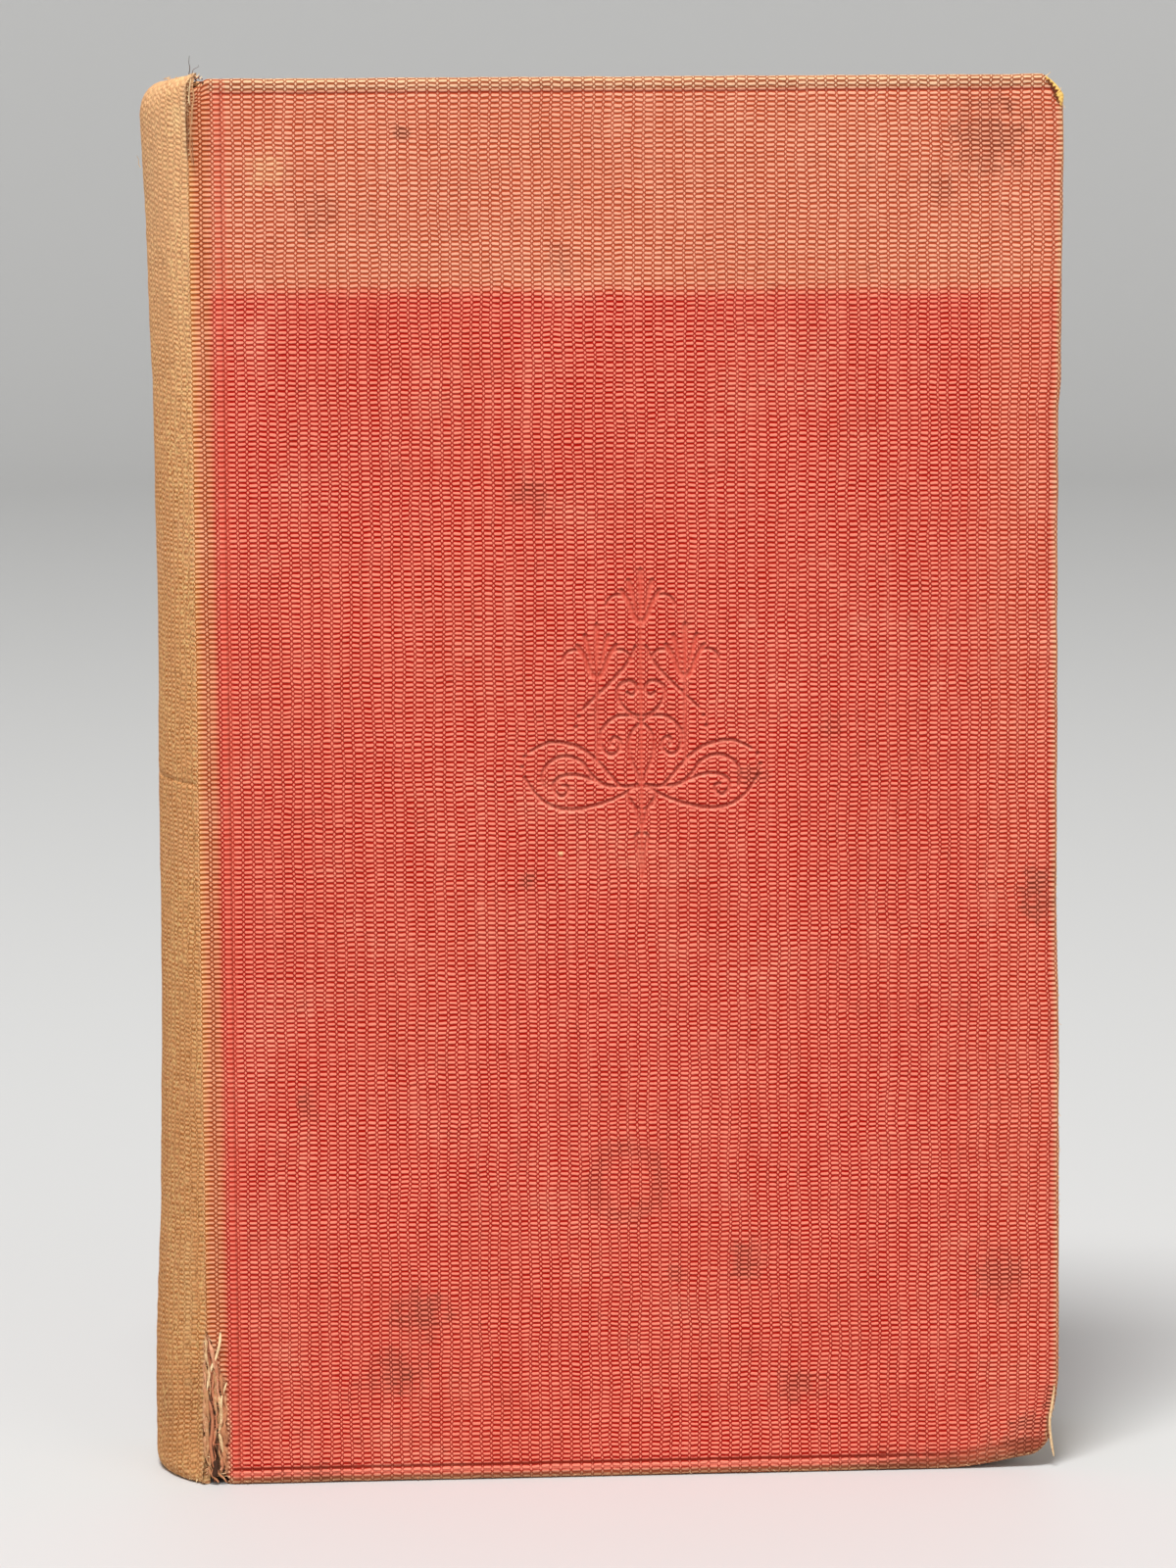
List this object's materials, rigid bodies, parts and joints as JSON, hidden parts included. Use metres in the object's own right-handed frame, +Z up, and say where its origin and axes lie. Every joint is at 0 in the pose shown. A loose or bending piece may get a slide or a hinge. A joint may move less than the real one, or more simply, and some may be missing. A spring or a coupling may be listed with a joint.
{
  "type": "hardback book",
  "caption": "Cloth-bound hardback book with a rounded back, french joints, a blind-stamped ornament and two covers that open.",
  "frame": {"origin": "middle of the footprint, on the surface that the book stands on", "axes": "+Z up the spine, -Y out of the front cover, -X out of the rounded back"},
  "size_m": [0.1226, 0.0302, 0.19],
  "materials": {
    "leaves": "matte",
    "mull": "matte",
    "lining_paper": "matte",
    "band_thread": "matte",
    "inlay_card": "matte",
    "faded_cloth": "matte",
    "endpaper": "matte",
    "board": "matte",
    "red_cloth": "matte"
  },
  "bodies": {
    "block": {"text_block": "leaves", "spine_mull": "mull", "spine_lining": "lining_paper", "head_band": "band_thread", "tail_band": "band_thread", "spine_inlay": "inlay_card", "spine_cloth": "faded_cloth", "front_flyleaf": "endpaper", "back_flyleaf": "endpaper"},
    "front_cover": {"front_board": "board", "front_cloth": "red_cloth", "front_mull_flange": "mull", "front_pastedown": "endpaper"},
    "back_cover": {"back_board": "board", "back_cloth": "red_cloth", "back_mull_flange": "mull", "back_pastedown": "endpaper"}
  },
  "joints": [
    {"name": "front_joint", "type": "hinge", "parent": "block", "child": "front_cover", "pos_m": [-0.05375, -0.0151, 0.095], "axis": [0, 0, -1], "range_deg": [0, 180]},
    {"name": "back_joint", "type": "hinge", "parent": "block", "child": "back_cover", "pos_m": [-0.05375, 0.0151, 0.095], "axis": [0, 0, 1], "range_deg": [0, 180]}
  ]
}
